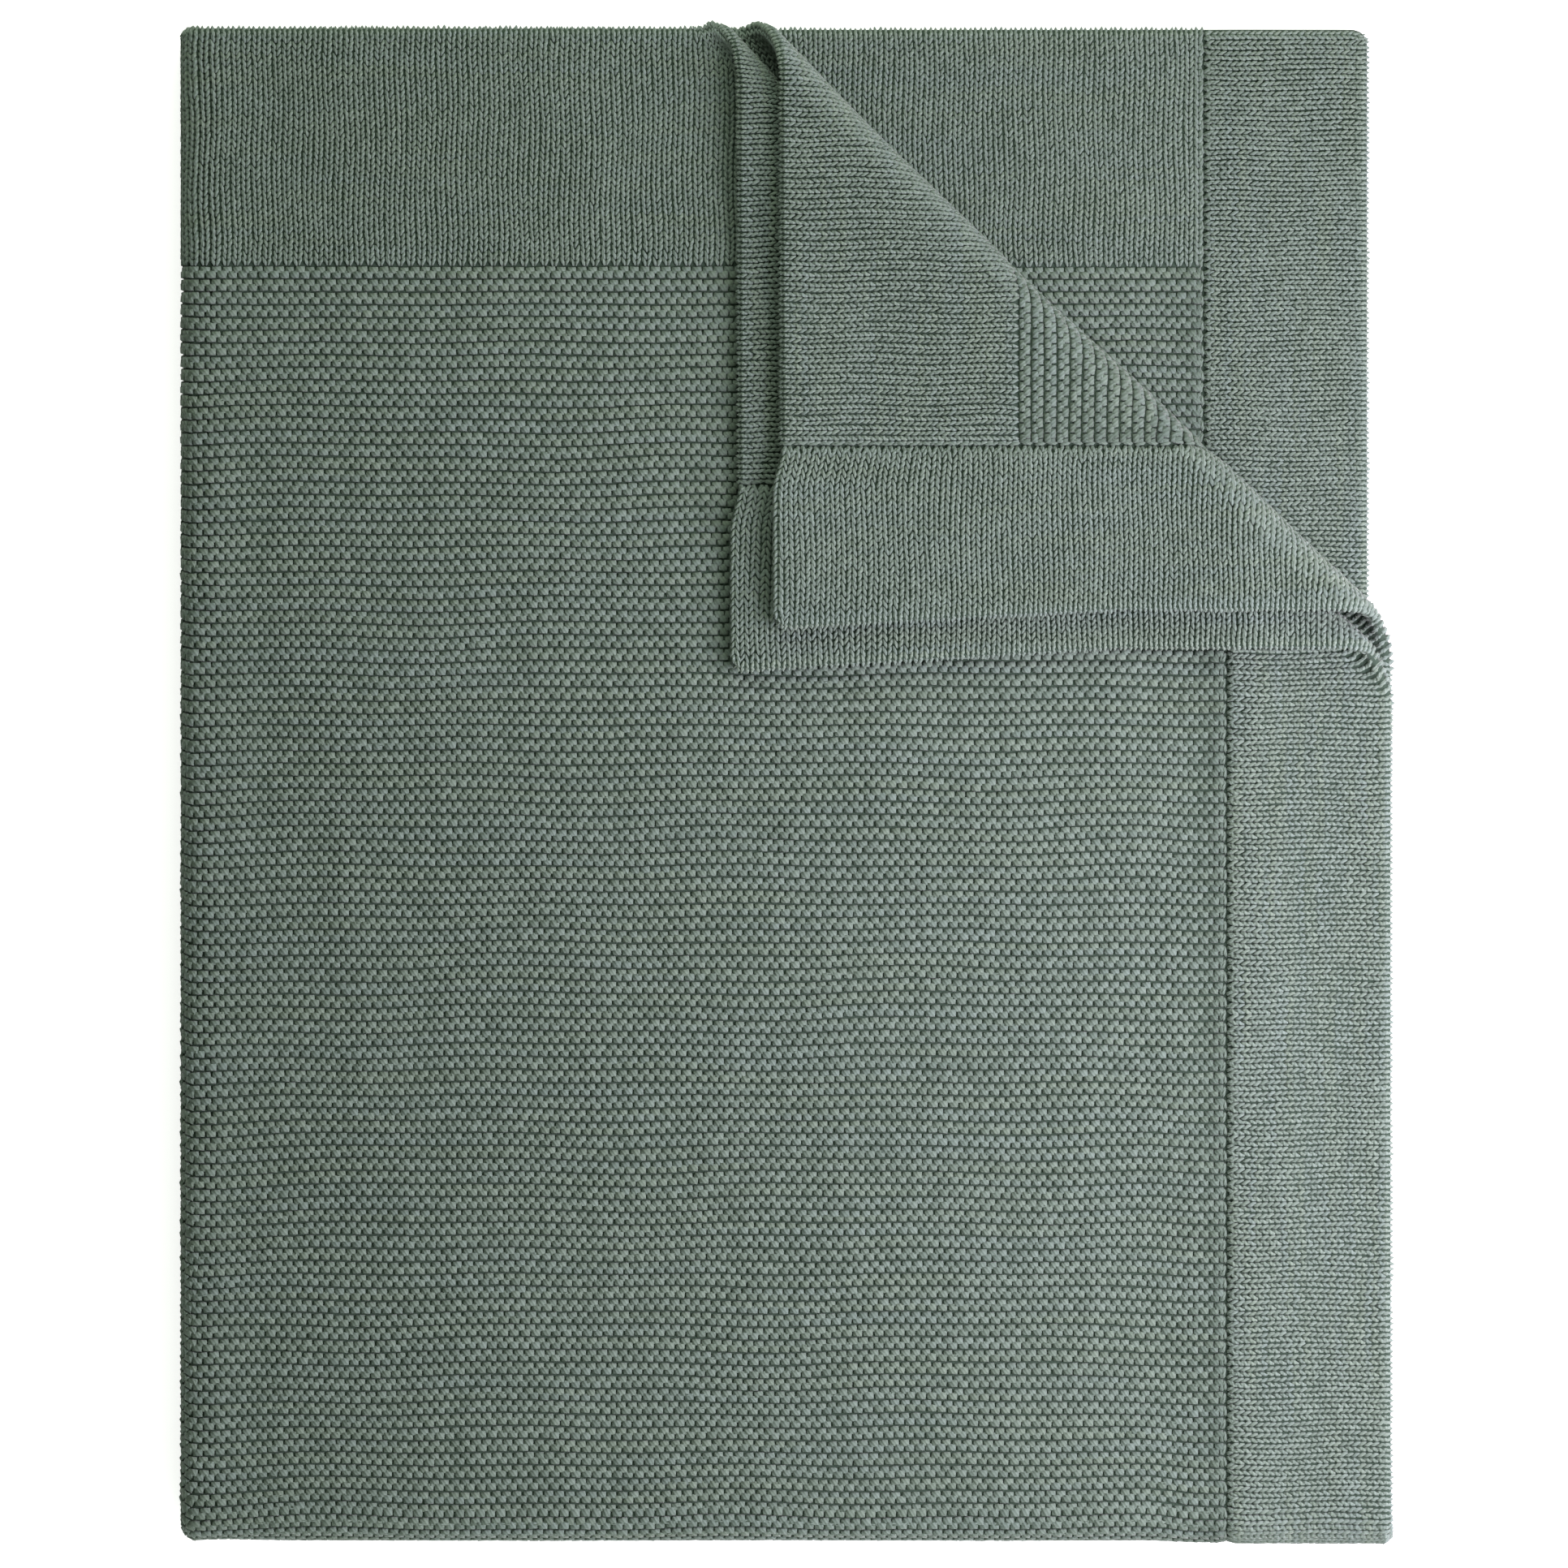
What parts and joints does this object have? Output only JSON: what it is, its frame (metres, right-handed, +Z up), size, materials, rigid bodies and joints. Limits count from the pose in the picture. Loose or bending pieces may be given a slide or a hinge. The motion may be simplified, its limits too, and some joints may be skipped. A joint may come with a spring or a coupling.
{
  "type": "knitted cradle blanket",
  "caption": "Thick knitted cradle blanket with a ridged middle and smooth borders, folded into a flat rectangle, with the loose corner of its upper layers turned back.",
  "frame": {"origin": "under the middle of the folded blanket, on the surface it lies on", "axes": "+Z up through the layers, +Y along the folded blanket's long side towards its open end, +X across it towards its open side, so the folds are at -X and -Y"},
  "size_m": [0.4006, 0.5012, 0.0356],
  "materials": {
    "ridged_knit": "matt grey-green cotton yarn, garter stitch with smooth end borders",
    "smooth_knit": "matt grey-green cotton yarn, double-faced stocking stitch"
  },
  "bodies": {
    "root": {"main_panel": "ridged_knit", "side_band_a": "smooth_knit", "side_band_b": "smooth_knit"}
  },
  "joints": []
}
